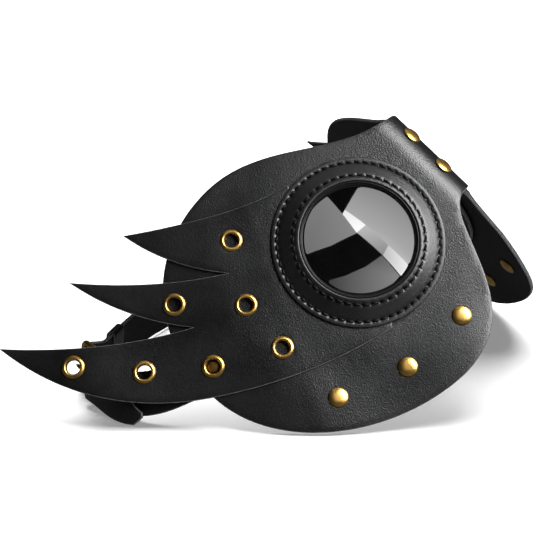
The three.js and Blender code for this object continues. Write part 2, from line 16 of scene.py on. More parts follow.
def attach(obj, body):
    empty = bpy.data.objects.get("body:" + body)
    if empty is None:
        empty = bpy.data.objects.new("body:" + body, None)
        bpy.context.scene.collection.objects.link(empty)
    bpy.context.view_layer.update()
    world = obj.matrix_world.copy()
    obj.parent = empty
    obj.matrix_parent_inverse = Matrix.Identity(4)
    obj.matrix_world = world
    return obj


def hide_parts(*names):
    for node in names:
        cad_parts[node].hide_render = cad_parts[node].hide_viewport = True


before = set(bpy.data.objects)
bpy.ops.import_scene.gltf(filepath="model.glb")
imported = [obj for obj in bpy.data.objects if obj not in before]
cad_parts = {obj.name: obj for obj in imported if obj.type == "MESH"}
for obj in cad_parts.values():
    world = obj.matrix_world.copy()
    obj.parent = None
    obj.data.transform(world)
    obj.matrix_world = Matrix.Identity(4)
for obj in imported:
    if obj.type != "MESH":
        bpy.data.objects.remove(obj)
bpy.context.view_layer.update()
MM = 0.001
RIGHT, LEFT = -1, 1
SIDES = ((RIGHT, "right"), (LEFT, "left"))

# ---- the part's own dimensions ---------------------------

# Sheet leather, the gap between neighbouring pieces, and how cut edges are rounded.
LEATHER = 2.0
GAP = 0.3
EDGE_ROUND = 0.55
EDGE_STEPS = 4

# How each half is bent. Flat positions are (s, t): s runs round the face from the nose line,
# t runs up along it, and h is the height above the outer face of the leather.
NOSE_RADIUS = 15.0
NOSE_TURN = math.radians(45.6)
TEMPLE_RADIUS = 60.0
TEMPLE_TURN = math.radians(3)
TEMPLE_LEAN = math.radians(-25)
TEMPLE_CLEARANCE = 39.0
RIDGE_LEAN = math.radians(52.9)
NOSE_ARC_LENGTH = NOSE_RADIUS * NOSE_TURN
FRAME_SHIFT = np.array([0, -52.84, 96.59])

# Goggle and wings.
LENS_CENTRE = (54.7, 0.0)
RING_OUTER = 37.75
RING_INNER = 25.7
LENS_HOLE = 27.0
LENS_EDGE = 24.4
LENS_DOME = 104.0
LENS_IOR = 1.8
LENS_GLOSS = ((LENS_IOR - 1) / (LENS_IOR + 1)) ** 2
BACKING_RING = (25.0, 33.0)
WING_LIFT = 0.15
WING_LEATHER = 1.4
WING_RING_RADIUS = 36.0
RING_BASE = WING_LIFT + WING_LEATHER
RING_TOP = RING_BASE + 1.15
RING_SIDE = RING_BASE + 0.6
# Each row of stitches: its radius and how many it has.
STITCH_ROWS = ((35.2, 60), (28.3, 46))
BACKING_ROW = (29.3, 44)
THREAD = 0.66

# Brass on the leather.
EYELETS = [(179.1, 45.8), (159.1, 23.4), (136.7, 4.7), (110.3, -10.1),
           (130.3, 35.4), (108.6, 13.7), (93.6, 38.3)]
EYELET_HOLE = 3.55
EYELET_BORE = 2.95
EYELET_RIM = 4.9
RIVET_CAP = 4.3
RIVET_SHANK = 1.6
CHEEK_RIVETS = [(45.5, -53.5), (77.9, -52.7), (108.1, -41.3)]
BRIDGE_RIVETS = {"upper": 18.1, "lower": -1.4}
BRIDGE_FILLER = 0.9
# The right half laps over the left one this far past the nose line, and the left one sinks under it.
LAP = 6.0
LAP_RAMP = (7.0, 22.0)

# Straps, buckle and keeper.
STRAP_WIDTH = 19.0
STRAP_CORNER = 2.5
STRAP_RIVET_PLACE = 9.0
STRAP_RIVET = EYELETS[2]
STRAP_RISE = math.radians(21)
HEEL_BAR = np.array([-111, 110.2, 12.8])
BUCKLE_HEADING = math.radians(24)
BUCKLE_LEAN = math.radians(6)
BUCKLE_WIRE = 1.25
BUCKLE_HEIGHT = 24.8
BUCKLE_LENGTH = 15.0
FRAME_RISE = 0.2
PRONG_WIRE = 0.9
FOLD_RADIUS = BUCKLE_WIRE + GAP + LEATHER / 2
TAIL_PASS = FOLD_RADIUS + LEATHER + 0.6
FRONT_BAR_PASS = -FOLD_RADIUS - 0.4
KEEPER_SPOT = np.array([-83, 123, 11.6])
KEEPER_RUN = 9.5
KEEPER_WALL = 1.1
KEEPER_LENGTH = 10.0
# Hole places, back from the free end of the left strap, and the seam, back from the heel bar.
PRONG_HOLES = (16, 110, 124)
FOLD_SEAM = 12.6


# ---- camera ----------------------------------------------

CAMERA_PLACE = Vector((-0.4451, -0.2093, 0.2340))
CAMERA_VIEW = Vector((0.81296, 0.44759, -0.3725))
CAMERA_LENS = 73.4


def add_camera():
    """The photograph's viewpoint: 22 degrees above the floor, off the wearer's right cheek."""
    data = bpy.data.cameras.new("camera")
    data.sensor_width = 36
    data.lens = CAMERA_LENS
    camera = link_object("camera", data)
    view = CAMERA_VIEW.normalized()
    side = view.cross(Vector((0, 0, 1))).normalized()
    basis = Matrix((side, side.cross(view), -view)).transposed().to_4x4()
    basis.translation = CAMERA_PLACE
    camera.matrix_world = basis
    bpy.context.scene.camera = camera


# ---- the bent skin ---------------------------------------

def unit(v):
    return v / np.maximum(np.linalg.norm(v, axis=-1, keepdims=True), 1e-12)


def to_mask(side, x, y, z):
    """A place beside the nose ridge, turned to the ridge's lean and set on the floor."""
    sin, cos = math.sin(RIDGE_LEAN), math.cos(RIDGE_LEAN)
    return np.stack([side * x, z * sin - y * cos, y * sin + z * cos], -1) + FRAME_SHIFT


def smooth_step(low, high, value):
    u = np.clip((value - low) / (high - low), 0, 1)
    return u * u * (3 - 2 * u)


def drape(s, t):
    """Slow waves of worn leather, away from the stiff goggle and the bridge."""
    far = smooth_step(40, 66, np.hypot(s - LENS_CENTRE[0], t - LENS_CENTRE[1])) * smooth_step(16, 40, s)
    long_wave = 0.62 * np.sin(2 * math.pi * (s + 0.25 * t - 97) / 74)
    short_wave = 0.16 * np.sin(2 * math.pi * (0.4 * s - t + 8) / 43)
    return far * (long_wave + short_wave)


def skin(side, s, t, h):
    """Flat leather positions (s round the face, t up the nose line) at height h, on the mask."""
    s, t, h = np.broadcast_arrays(*(np.asarray(v, float) for v in (s, t, h)))
    h = h + drape(s, t)
    nose = np.minimum(s / NOSE_RADIUS, NOSE_TURN)
    x = (NOSE_RADIUS + h) * np.sin(nose)
    y = (NOSE_RADIUS + h) * np.cos(nose) - NOSE_RADIUS
    past = ((s - LENS_CENTRE[0]) * math.cos(TEMPLE_LEAN)
            - (t - LENS_CENTRE[1]) * math.sin(TEMPLE_LEAN) - TEMPLE_CLEARANCE)
    past = np.maximum(past, 0)
    turn = np.minimum(past / TEMPLE_RADIUS, TEMPLE_TURN)
    rest = past - turn * TEMPLE_RADIUS
    along = (TEMPLE_RADIUS + h) * np.sin(turn) + rest * np.cos(turn) - past
    drop = (TEMPLE_RADIUS + h) * (1 - np.cos(turn)) + rest * np.sin(turn)
    out = np.maximum(s - NOSE_ARC_LENGTH, 0) + along * math.cos(TEMPLE_LEAN)
    x = x + out * math.cos(NOSE_TURN) - drop * math.sin(NOSE_TURN)
    y = y - out * math.sin(NOSE_TURN) - drop * math.cos(NOSE_TURN)
    return to_mask(side, x, y, t - along * math.sin(TEMPLE_LEAN))


def skin_frame(side, s, t, h=0.0):
    """Place on the skin, its outward normal, and the directions of s and t there."""
    origin = skin(side, s, t, h)
    outward = unit(skin(side, s, t, h + 1) - origin)
    return origin, outward, unit(skin(side, s + 1, t, h) - origin), unit(skin(side, s, t + 1, h) - origin)


# ---- making objects --------------------------------------

def link_object(name, data):
    """A new object in the scene."""
    made = bpy.data.objects.new(name, data)
    bpy.context.scene.collection.objects.link(made)
    return made


def add_object(name, points, faces, materials, body, nodes=(), slots_of_faces=None):
    """A piece from points in millimetres, riding on a CAD body and standing for CAD nodes."""
    mesh = bpy.data.meshes.new(name)
    mesh.from_pydata((np.asarray(points) * MM).tolist(), [], faces)
    for material in materials:
        mesh.materials.append(material)
    if slots_of_faces is not None:
        mesh.polygons.foreach_set("material_index", slots_of_faces)
    mesh.polygons.foreach_set("use_smooth", [True] * len(faces))
    mesh.validate()
    mesh.update()
    piece = link_object(name, mesh)
    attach(piece, body)
    if nodes:
        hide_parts(*nodes)
    return piece


def add_sheet(name, shell, looks, node, body="mask"):
    """A leather sheet. looks are those of its grain side, its cut edge and its flesh side."""
    points, faces, slots = shell
    add_object(name, points, faces, looks, body, [node], slots)


def add_thread(name, parts, look):
    add_object(name, parts.points, parts.faces, [look], "mask")


class Parts:
    """Points and faces of several shells that make one piece."""

    def __init__(self):
        self.points, self.faces = [], []

    def add(self, points, faces):
        base = len(self.points)
        self.points.extend(np.asarray(points).tolist())
        self.faces.extend([tuple(base + i for i in face) for face in faces])


def tube(rings, closed=False):
    """Faces and points through rings of equal size, capped at both ends unless closed."""
    count, sides = len(rings), len(rings[0])
    faces = []
    for i in range(count if closed else count - 1):
        j = (i + 1) % count
        for k in range(sides):
            m = (k + 1) % sides
            faces.append((i * sides + k, i * sides + m, j * sides + m, j * sides + k))
    if not closed:
        faces.append(tuple(range(sides - 1, -1, -1)))
        faces.append(tuple((count - 1) * sides + k for k in range(sides)))
    return np.concatenate(rings), faces


# ---- leather sheets --------------------------------------

def bezier(points, count):
    """Points along a Bezier curve of any degree, without the first one."""
    points = np.asarray(points, float)
    degree = len(points) - 1
    u = np.linspace(0, 1, count + 1)[1:, None]
    return sum(math.comb(degree, i) * u ** i * (1 - u) ** (degree - i) * p for i, p in enumerate(points))


def trace(start, *curves, step=1.0):
    """An outline from its start and the control points of each curve, evenly sampled."""
    loop = [np.array([start], float)]
    for curve in curves:
        points = [loop[-1][-1], *curve]
        length = sum(math.dist(a, b) for a, b in zip(points, points[1:]))
        loop.append(bezier(points, max(2, round(length / step))))
    loop = np.concatenate(loop)
    return loop[:-1] if math.dist(loop[0], loop[-1]) < 1e-6 else loop


def circle(centre, radius, count=40):
    turn = np.linspace(0, -2 * math.pi, count, endpoint=False)
    return np.stack([centre[0] + radius * np.cos(turn), centre[1] + radius * np.sin(turn)], -1)


def area(loop):
    x, y = loop.T
    return 0.5 * float((x * np.roll(y, -1) - y * np.roll(x, -1)).sum())


def into_leather(loop):
    """For each point of a loop, the way into the leather on its left, lengthened at corners."""
    before, after = unit(loop - np.roll(loop, 1, 0)), unit(np.roll(loop, -1, 0) - loop)
    left = lambda d: np.stack([-d[:, 1], d[:, 0]], -1)
    middle = unit(left(before) + left(after))
    return middle / np.clip((middle * left(before)).sum(1), 0.4, 1)[:, None]


def room(loop, way, others):
    """How much of the rounding fits at each point of a loop: less where the leather is narrow."""
    starts = np.concatenate(others)
    ends = np.concatenate([np.roll(o, -1, 0) for o in others])
    span, ray = ends - starts, unit(way)
    offset = starts[None] - loop[:, None]
    cross = lambda a, b: a[..., 0] * b[..., 1] - a[..., 1] * b[..., 0]
    below = cross(ray[:, None], span[None])
    below = np.where(abs(below) < 1e-9, 1e-9, below)
    reach = cross(offset, span[None]) / below
    along = cross(offset, ray[:, None]) / below
    reach = np.where((reach > 1e-4) & (along >= 0) & (along <= 1), reach, 1e3).min(1)
    fits = np.minimum(1, 0.42 * reach / EDGE_ROUND)
    fits = np.minimum(fits, np.minimum(np.roll(fits, 1), np.roll(fits, -1)))
    edge = np.roll(loop, -1, 0) - loop
    for _ in range(30):
        moved = loop + way * fits[:, None] * EDGE_ROUND
        kept = ((np.roll(moved, -1, 0) - moved) * edge).sum(1) / (edge ** 2).sum(1)
        if kept.min() > 0.4:
            break
        tight = (kept <= 0.4) | np.roll(kept <= 0.4, 1)
        fits = np.where(tight, fits * 0.8, fits)
    return fits


def inside(points, loops):
    """Which points lie within the outer loop and outside its holes."""
    odd = np.zeros(len(points), bool)
    for loop in loops:
        a, b = loop, np.roll(loop, -1, 0)
        x, y = points[:, :1], points[:, 1:]
        crosses = (a[:, 1] > y) != (b[:, 1] > y)
        climb = np.where(b[:, 1] == a[:, 1], 1, b[:, 1] - a[:, 1])
        at = a[:, 0] + (y - a[:, 1]) / climb * (b[:, 0] - a[:, 0])
        odd ^= ((crosses & (x < at)).sum(1) % 2).astype(bool)
    return odd


def filling(loops, spacing):
    """An even triangle grid of points inside the loops, kept clear of them."""
    low, high = loops[0].min(0), loops[0].max(0)
    rows = []
    for i, y in enumerate(np.arange(low[1], high[1], spacing * 0.87)):
        x = np.arange(low[0] + (i % 2) * spacing / 2, high[0], spacing)
        rows.append(np.stack([x, np.full_like(x, y)], -1))
    return np.concatenate(rows), spacing * 0.6


def caps(loops, extra, clear):
    """Triangles over the area between loops, using extra points that keep clear of the loops."""
    rim = np.concatenate(loops)
    extra = extra[inside(extra, loops)]
    keep = [np.sqrt(((rim - p) ** 2).sum(1).min()) > clear for p in extra]
    extra = extra[np.array(keep, bool)] if len(extra) else extra
    points = np.concatenate([rim, extra])
    edges, base = [], 0
    for loop in loops:
        edges += [(base + i, base + (i + 1) % len(loop)) for i in range(len(loop))]
        base += len(loop)
    found = delaunay_2d_cdt([Vector(p) for p in points], edges, [], 0, 1e-6, True)
    source = [ids[0] for ids in found[3]]
    triangles = np.array([[source[i] for i in face] for face in found[2]])
    centres = points[triangles].mean(1)
    triangles = triangles[inside(centres, loops)]
    a, b, c = (points[triangles[:, i]] for i in range(3))
    turn = (b - a)[:, 0] * (c - a)[:, 1] - (b - a)[:, 1] * (c - a)[:, 0]
    triangles[turn < 0] = triangles[turn < 0][:, ::-1]
    return extra, triangles


def sheet_shell(loops, bend, thickness, fill=None, spacing=2.2, flip=False, round_by=EDGE_ROUND):
    """A closed leather sheet with rounded edges: points, faces and each face's material slot.

    bend takes flat positions and a height from 0 (flesh side) to thickness (grain side).
    """
    loops = [loop if (area(loop) > 0) == (i == 0) else loop[::-1] for i, loop in enumerate(loops)]
    ways = [into_leather(loop) for loop in loops]
    ways = [way * room(loop, way, loops)[:, None] for loop, way in zip(loops, ways)]
    turns = np.linspace(0, math.pi / 2, EDGE_STEPS)
    levels = [(round_by * (1 - math.sin(a)), thickness - round_by * (1 - math.cos(a))) for a in turns]
    levels += [(inset, thickness - height) for inset, height in levels[::-1]]
    rim = [loop + way * round_by for loop, way in zip(loops, ways)]
    extra, clear = filling(rim, spacing) if fill is None else fill
    extra, triangles = caps(rim, extra, clear)
    count = sum(len(loop) for loop in loops)
    flat, heights = [], []
    for inset, height in levels:
        flat.append(np.concatenate([loop + way * inset for loop, way in zip(loops, ways)]))
        heights.append(np.full(count, height))
    flat += [extra, extra]
    heights += [np.full(len(extra), thickness), np.zeros(len(extra))]
    flat, heights = np.concatenate(flat), np.concatenate(heights)
    points = bend(flat[:, 0], flat[:, 1], heights)
    top_extra = len(levels) * count
    bottom_extra = top_extra + len(extra)
    last = (len(levels) - 1) * count
    grain = np.where(triangles < count, triangles, triangles - count + top_extra)
    flesh = np.where(triangles < count, triangles + last, triangles - count + bottom_extra)[:, ::-1]
    faces, slots = [tuple(f) for f in grain.tolist()], [0] * len(grain)
    for level in range(len(levels) - 1):
        base = 0
        for loop in loops:
            n = len(loop)
            for i in range(n):
                a, b = level * count + base + i, level * count + base + (i + 1) % n
                faces.append((a, a + count, b + count, b))
            base += n
        slots += [1 if 1 <= level <= len(levels) - 3 else 0] * count
    faces += [tuple(f) for f in flesh.tolist()]
    slots += [2] * len(flesh)
    if flip:
        faces = [face[::-1] for face in faces]
    return points, faces, slots


def ripple(s, t, phase):
    """A faint unevenness of hand-cut leather, within a tenth of a millimetre."""
    return 0.05 * np.sin(0.055 * s + 0.031 * t + phase) + 0.04 * np.sin(0.023 * s - 0.071 * t + 2 * phase)


def face_loops():
    outer = trace((-LAP, 30.6), [(0, 31)],
                  [(32, 30), (50, 62), (84, 62.3)], [(118, 62.5), (148, 38), (145.6, -4.7)],
                  [(143, -44), (97, -71.7), (61, -71.7)], [(29, -70.5), (25, -46), (14.5, -25)],
                  [(10, -16.4), (3, -16)], [(-LAP, -15.6)], [(-LAP, 30.6)])
    return [outer[::-1], circle(LENS_CENTRE, LENS_HOLE, 96)]


def wing_loops():
    s, t = LENS_CENTRE
    at = lambda degrees: (s + WING_RING_RADIUS * math.cos(math.radians(degrees)),
                          t + WING_RING_RADIUS * math.sin(math.radians(degrees)))
    outer = trace(at(83), [(59, 39.3)], [(85, 44.5), (125.4, 73)], [(121, 48.5), (104.6, 29.1)],
                  [(130.5, 45), (156, 74)], [(150.5, 46.5), (131.4, 22.8)], [(167.5, 42), (196.5, 74)],
                  [(190, 28), (151.7, -0.5)], [(114, -27.5), (70.8, -36.4)], [at(-68)],
                  *[[at(-68 - 3 * i)] for i in range(1, 69)], step=0.9)
    outer = outer[:-1] if math.dist(outer[0], outer[-1]) < 0.4 else outer
    holes = [circle(spot, EYELET_HOLE, 40) for spot in EYELETS]
    return [outer[::-1], circle(LENS_CENTRE, LENS_HOLE, 96), *holes]


def lap_sink(s):
    """How far the left half sinks under the right one near the nose line."""
    return (LEATHER + GAP) * (1 - np.clip((s - LAP_RAMP[0]) / (LAP_RAMP[1] - LAP_RAMP[0]), 0, 1))


def add_panels(looks):
    for side, name in SIDES:
        sink = lap_sink if side == LEFT else np.zeros_like
        phase = 0.7 if side == LEFT else 2.1

        def face_bend(s, t, h):
            return skin(side, s, t, h - LEATHER - sink(s) + ripple(s, t, phase))

        def wing_bend(s, t, h):
            return skin(side, s, t, WING_LIFT + h + ripple(s, t, phase))

        face = sheet_shell(face_loops(), face_bend, LEATHER, flip=side == RIGHT)
        add_sheet(f"{name}_face_leather", face, looks, f"{name}_face_panel")
        wing = sheet_shell(wing_loops(), wing_bend, WING_LEATHER, flip=side == RIGHT)
        add_sheet(f"{name}_wing_leather", wing, looks, f"{name}_wing_panel")


# ---- turned pieces ---------------------------------------

def rounded(profile, radius, steps=4):
    """A profile with its inner corners cut to arcs of about the radius given for each."""
    points = [np.array(p, float) for p in profile]
    result = [points[0]]
    for before, corner, after, r in zip(points, points[1:], points[2:], radius):
        reach = min(r, 0.45 * math.dist(before, corner), 0.45 * math.dist(corner, after))
        if reach < 1e-3:
            result.append(corner)
            continue
        start = corner + unit(before - corner) * reach
        end = corner + unit(after - corner) * reach
        result += [start, *bezier([start, corner, end], steps)]
    return np.array([*result, points[-1]])


class Axis:
    """The skin's normal at a spot, and the two directions across it."""

    def __init__(self, side, spot):
        self.origin, self.outward, self.first, _ = skin_frame(side, *spot)
        self.second = np.cross(self.outward, self.first)

    def way(self, angle):
        return math.cos(angle) * self.first + math.sin(angle) * self.second

    def at(self, radius, angle, height):
        return self.origin + radius * self.way(angle) + height * self.outward


def turned(side, spot, profile, steps=96, surface=None):
    """A shell turned about the skin's normal at a spot. surface may move its (radius, height)."""
    axis = Axis(side, spot)
    rings = []
    for angle in np.linspace(0, 2 * math.pi, steps, endpoint=False):
        radius, height = profile[:, 0].copy(), profile[:, 1].copy()
        if surface:
            radius, height = surface(radius, height, angle)
        rings.append(axis.at(radius[:, None], angle, height[:, None]))
    if np.allclose(profile[0], profile[-1]):
        return tube([ring[:-1] for ring in rings], closed=True)
    count, faces = len(profile), []
    for i in range(steps):
        here, there = i * count, (i + 1) % steps * count
        faces += [(here + k, here + k + 1, there + k + 1, there + k) for k in range(count - 1)]
    return np.concatenate(rings), faces


def weld(piece, distance=0.004):
    """Merges the repeated points on a turned piece's axis."""
    work = bmesh.new()
    work.from_mesh(piece.data)
    bmesh.ops.remove_doubles(work, verts=work.verts, dist=distance * MM)
    bmesh.ops.recalc_face_normals(work, faces=work.faces)
    work.to_mesh(piece.data)
    work.free()


def add_turned(name, side, spot, profile, material, nodes, steps=96, surface=None):
    points, faces = turned(side, spot, np.asarray(profile, float), steps, surface)
    weld(add_object(name, points, faces, [material], "mask", nodes))


def ring_profile():
    corners = [(RING_INNER + 2, RING_BASE), (RING_OUTER, RING_BASE), (RING_OUTER, RING_TOP - 0.1),
               (36.3, RING_TOP + 0.15), (34.7, RING_TOP + 0.35), (31.0, RING_TOP + 2.2),
               (27.6, RING_TOP + 3.9), (RING_INNER, RING_TOP + 4.2), (RING_INNER, RING_BASE),
               (RING_INNER + 2, RING_BASE)]
    smooth = rounded(corners, [0.4, 0.9, 1.2, 1.5, 3, 1.5, 0.9, 0.2], 6)
    dense = [smooth[0]]
    for point in smooth[1:]:
        count = max(1, round(math.dist(dense[-1], point) / 0.5))
        dense += [dense[-1] + (point - dense[-1]) * i / count for i in range(1, count)] + [point]
    return np.array(dense)


def ring_height(radius):
    """Height of the ring's upper surface at a radius."""
    upper = [(r, h) for r, h in ring_profile() if h > RING_SIDE]
    upper.sort()
    return float(np.interp(radius, [r for r, _ in upper], [h for _, h in upper]))


def ring_surface(radius, height, angle):
    """Pulls the leather down along each row of stitches, most at the needle holes."""
    for row_radius, count in STITCH_ROWS:
        hole = 0.5 + 0.5 * math.cos(count * angle)
        depth = 0.24 + 0.4 * hole ** 5
        near = np.exp(-((radius - row_radius) / 0.85) ** 2)
        height = height - np.where(height > RING_SIDE, near * depth, 0)
    wave = 0.03 * math.sin(3 * angle + 1) + 0.018 * math.sin(7 * angle)
    return radius, height + np.where(height > RING_SIDE, wave, 0)


def stitch(parts, frame_at, start, end, lift=0.3, thread=THREAD, sections=9, sides=8):
    """One thread stitch between two needle holes. frame_at gives (point, up) for flat places."""
    rings = []
    for i in range(sections):
        u = i / (sections - 1)
        place, up = frame_at(start + (end - start) * u)
        ahead, _ = frame_at(start + (end - start) * min(1, u + 0.02))
        behind, _ = frame_at(start + (end - start) * max(0, u - 0.02))
        way = unit(ahead - behind)
        across = unit(np.cross(way, up))
        rise = lift * math.sin(math.pi * u) ** 0.6 - 0.38 * (1 - math.sin(math.pi * u) ** 0.5)
        size = thread * (0.72 + 0.28 * math.sin(math.pi * u))
        turn = np.linspace(0, 2 * math.pi, sides, endpoint=False)[:, None]
        rings.append(place + up * rise + size * (np.cos(turn) * across + np.sin(turn) * up))
    parts.add(*tube(rings))


def stitch_round(parts, frame_at, radii, count, cover, lift=0.3):
    """A round row of stitches, each from one radius to the other over a part of its pitch."""
    pitch = 2 * math.pi / count
    for i in range(count):
        start, end = (np.array([radius, (i + part) * pitch]) for radius, part in zip(radii, cover))
        stitch(parts, frame_at, start, end, lift)


def add_ring_stitches(side, name, material):
    axis, parts = Axis(side, LENS_CENTRE), Parts()
    for row_radius, count in STITCH_ROWS:
        level = ring_height(row_radius) - 0.52
        slope = ring_height(row_radius + 0.5) - ring_height(row_radius - 0.5)

        def frame_at(place):
            radius, angle = place
            height = level + slope * (radius - row_radius)
            return axis.at(radius, angle, height), unit(axis.outward - slope * axis.way(angle))

        stitch_round(parts, frame_at, (row_radius - 0.2, row_radius + 0.2), count, (0.04, 0.92))
    add_thread(f"{name}_ring_stitches", parts, material)


def add_goggle(side, name, looks):
    add_turned(f"{name}_ring_leather", side, LENS_CENTRE, ring_profile(), looks["moulded"],
               [f"{name}_lens_ring"], 480, ring_surface)
    add_ring_stitches(side, name, looks["thread"])
    outer, top, seat = RING_INNER - 0.05, RING_TOP + 3.7, RING_TOP + 2.2
    bezel = rounded([(24.0, -2.3), (outer, -2.3), (outer, top), (outer - 0.45, top + 0.15),
                     (outer - 0.75, top - 0.35), (outer - 0.75, seat + 0.9), (LENS_EDGE - 0.2, seat + 0.5),
                     (LENS_EDGE - 0.9, seat - 0.6), (24.0, -2.3)], [0.3, 0.3, 0.2, 0.2, 0.3, 0.2, 0.2], 4)
    add_turned(f"{name}_bezel_trim", side, LENS_CENTRE, bezel, looks["bezel"],
               [f"{name}_lens_bezel"], 160)
    radii = np.linspace(LENS_EDGE - 0.25, 0, 26)
    sag = math.sqrt(LENS_DOME ** 2 - LENS_EDGE ** 2)
    rise = lambda r: seat + 0.55 + math.sqrt(LENS_DOME ** 2 - r ** 2) - sag
    lens = [(0, seat - 0.6), (LENS_EDGE - 0.3, seat - 0.6), (LENS_EDGE, seat - 0.3), (LENS_EDGE, seat + 0.4),
            *[(r, rise(r)) for r in radii]]
    add_turned(f"{name}_lens_glass", side, LENS_CENTRE, lens, looks["lens"], [f"{name}_lens"], 192)


def add_backing_ring(side, name, looks):
    """The flat ring inside the mask that the goggle is sewn to, with the stitches that show there."""
    axis, row = Axis(side, LENS_CENTRE), Parts()
    level = -2 * LEATHER - GAP
    inner, outer = BACKING_RING

    def flat(x, y, h):
        place = x[:, None] * axis.first + y[:, None] * axis.second
        return axis.origin + place + (h + level)[:, None] * axis.outward

    loops = [circle((0, 0), outer, 128)[::-1], circle((0, 0), inner, 96)]
    add_sheet(f"{name}_backing_leather", sheet_shell(loops, flat, LEATHER, spacing=2.4),
              [looks["lining"], looks["edge"], looks["lining"]], f"{name}_lens_backing_ring")
    row_radius, count = BACKING_ROW
    frame_at = lambda place: (axis.at(*place, level), -axis.outward)
    stitch_round(row, frame_at, (row_radius, row_radius), count, (0, 0.86), 0.22)
    add_thread(f"{name}_backing_stitches", row, looks["thread"])


# ---- brass -----------------------------------------------

def eyelet_profile():
    """A rolled rim on the leather's face that turns down through the bore to a small back flange."""
    face = WING_LIFT + WING_LEATHER
    back = WING_LIFT - GAP
    inner, outer = EYELET_BORE, EYELET_RIM
    corners = [(inner + 0.1, back - 0.1), (4.4, back - 0.1), (4.4, back + 0.2), (3.3, back + 0.2),
               (3.3, face + 0.05), (outer, face + 0.05), (outer, face + 0.35), (4.45, face + 0.8),
               (3.75, face + 1.05), (3.2, face + 0.8), (inner, face + 0.2), (inner, back - 0.1),
               (inner + 0.1, back - 0.1)]
    return rounded(corners, [0.15, 0.15, 0.1, 0.1, 0.15, 0.3, 0.5, 0.6, 0.5, 0.5, 0.1], 5)


def rivet_profile(bottom, top, cap=RIVET_CAP, rise=1.05):
    """A shank between two domed caps, one past each face of the leather."""
    under, over = bottom - 0.15, top + 0.15
    dome = lambda r, flat: flat + rise * (1 - (r / cap) ** 2.6)
    radii = np.linspace(0, cap, 13)
    low = [(r, -dome(r, -(under - 0.25)) if r < cap else under - 0.2) for r in radii]
    high = [(r, dome(r, over + 0.25) if r < cap else over + 0.2) for r in radii[::-1]]
    shank = [(cap - 0.1, under), (RIVET_SHANK, under), (RIVET_SHANK, over), (cap - 0.1, over)]
    return np.array([*low, *shank, *high])


def add_brass(node, side, spot, profile, look, steps=64):
    add_turned(f"{node}_brass", side, spot, profile, look, [node], steps)


def add_hardware(side, name, looks):
    for i, spot in enumerate(EYELETS):
        add_brass(f"{name}_eyelet_{i + 1}", side, spot, eyelet_profile(), looks["brass"])
    for i, spot in enumerate(CHEEK_RIVETS):
        add_brass(f"{name}_cheek_rivet_{i + 1}", side, spot, rivet_profile(-LEATHER, 0), looks["brass"])
    small_rivet = rivet_profile(-2 * LEATHER - GAP, 0, 2.4, 0.35)
    # The strap rivet's cap sits deep under the third eyelet's hole; its brass is darkened as painted shade
    # of that hole.
    add_brass(f"{name}_strap_rivet", side, STRAP_RIVET, small_rivet, looks["painted_shade_brass"], 48)


def add_bridge_rivets(looks):
    long_rivet = rivet_profile(-2 * LEATHER - GAP - BRIDGE_FILLER, 0)
    for name, t in BRIDGE_RIVETS.items():
        add_brass(f"{name}_bridge_rivet", RIGHT, (0, t), long_rivet, looks["brass"])


# ---- straps and buckle -----------------------------------

# The buckle's own directions: ahead along the strap, out of its face, and up across it.
AHEAD = np.array([math.sin(BUCKLE_HEADING), math.cos(BUCKLE_HEADING), 0])
LEVEL_OUT = np.array([-math.cos(BUCKLE_HEADING), math.sin(BUCKLE_HEADING), 0])
BUCKLE_OUT = LEVEL_OUT * math.cos(BUCKLE_LEAN) + np.cross(AHEAD, LEVEL_OUT) * math.sin(BUCKLE_LEAN)
BUCKLE_UP = -np.cross(BUCKLE_OUT, AHEAD)
GROUND_SHIFT = np.array([0, FRAME_SHIFT[1], -0.01])
KEEPER_WAY = unit(np.array([-1, -0.2, 0.0]))
KEEPER_UP = unit(np.array([0, -0.1, 1.0]))


def at_buckle(along, out, rise=0.0):
    """A place measured from the buckle's heel bar."""
    return HEEL_BAR + GROUND_SHIFT + AHEAD * along + BUCKLE_OUT * out + BUCKLE_UP * rise


def between(u, places, rows):
    """Rows of points or directions read off between their places."""
    return np.stack([np.interp(u, places, rows[:, i]) for i in range(3)], -1)


class Route:
    """A strap's middle line: points, and the directions across it and out of its face."""

    def __init__(self, points, across):
        keep = [0]
        for i in range(1, len(points)):
            if math.dist(points[i], points[keep[-1]]) > 0.02:
                keep.append(i)
        self.points = np.array([points[i] for i in keep])
        across = np.array([across[i] for i in keep])
        ways = unit(np.gradient(self.points, axis=0))
        self.face = unit(np.cross(ways, across))
        self.across = unit(np.cross(self.face, ways))
        steps = np.linalg.norm(np.diff(self.points, axis=0), axis=1)
        self.u = np.concatenate([[0], np.cumsum(steps)])

    def at(self, u, v, h):
        middle, across, face = (between(u, self.u, rows) for rows in (self.points, self.across, self.face))
        return middle + across * v[:, None] + face * h[:, None]

    def smoothed(self, width):
        """The same route, evenly resampled and with its joins eased over a width."""
        u = np.arange(0, self.u[-1], 0.25)
        points, across = between(u, self.u, self.points), between(u, self.u, self.across)
        reach = int(width / 0.25)
        kernel = np.hanning(2 * reach + 3)[1:-1]
        kernel /= kernel.sum()
        for rows in (points, across):
            before, after = 2 * rows[0] - rows[reach:0:-1], 2 * rows[-1] - rows[-2:-reach - 2:-1]
            padded = np.concatenate([before, rows, after])
            rows[:] = np.stack([np.convolve(padded[:, i], kernel, "valid") for i in range(3)], -1)
        return Route(points, unit(across))

    def spacing(self, bend=0.12, longest=2.2):
        """Places along the route, close together where it bends."""
        places, last = [0.0], 0
        for i in range(1, len(self.u)):
            turned_by = math.acos(float(np.clip(self.face[i] @ self.face[last], -1, 1)))
            if self.u[i] - self.u[last] > longest or turned_by > bend:
                places.append(self.u[i])
                last = i
        if self.u[-1] - places[-1] > 0.4:
            places.append(self.u[-1])
        return np.array(places)


